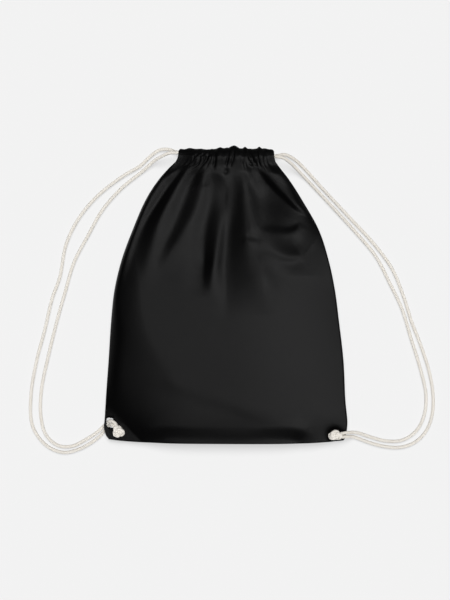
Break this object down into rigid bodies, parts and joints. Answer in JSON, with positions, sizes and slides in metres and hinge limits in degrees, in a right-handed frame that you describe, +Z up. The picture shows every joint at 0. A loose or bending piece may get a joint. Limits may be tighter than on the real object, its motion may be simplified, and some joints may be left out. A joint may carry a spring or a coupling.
{
  "type": "drawstring gym bag",
  "caption": "Flat cotton drawstring gym bag lying on its back, with a gathered top casing drawn closed by cords that are knotted at the bottom corners.",
  "frame": {"origin": "on the floor under the middle of the bag's cloth, cords left out", "axes": "+X to the right and +Y towards the mouth as seen from above, +Z up from the floor, through the bag's face"},
  "size_m": [0.6189, 0.4675, 0.0358],
  "materials": {
    "black_cotton": "matt plain weave",
    "natural_cord": "soft twisted cotton"
  },
  "bodies": {
    "root": {"back_panel": "black_cotton", "front_panel": "black_cotton", "cord_left": "natural_cord", "cord_right": "natural_cord", "knot_left": "natural_cord", "knot_right": "natural_cord"}
  },
  "joints": []
}
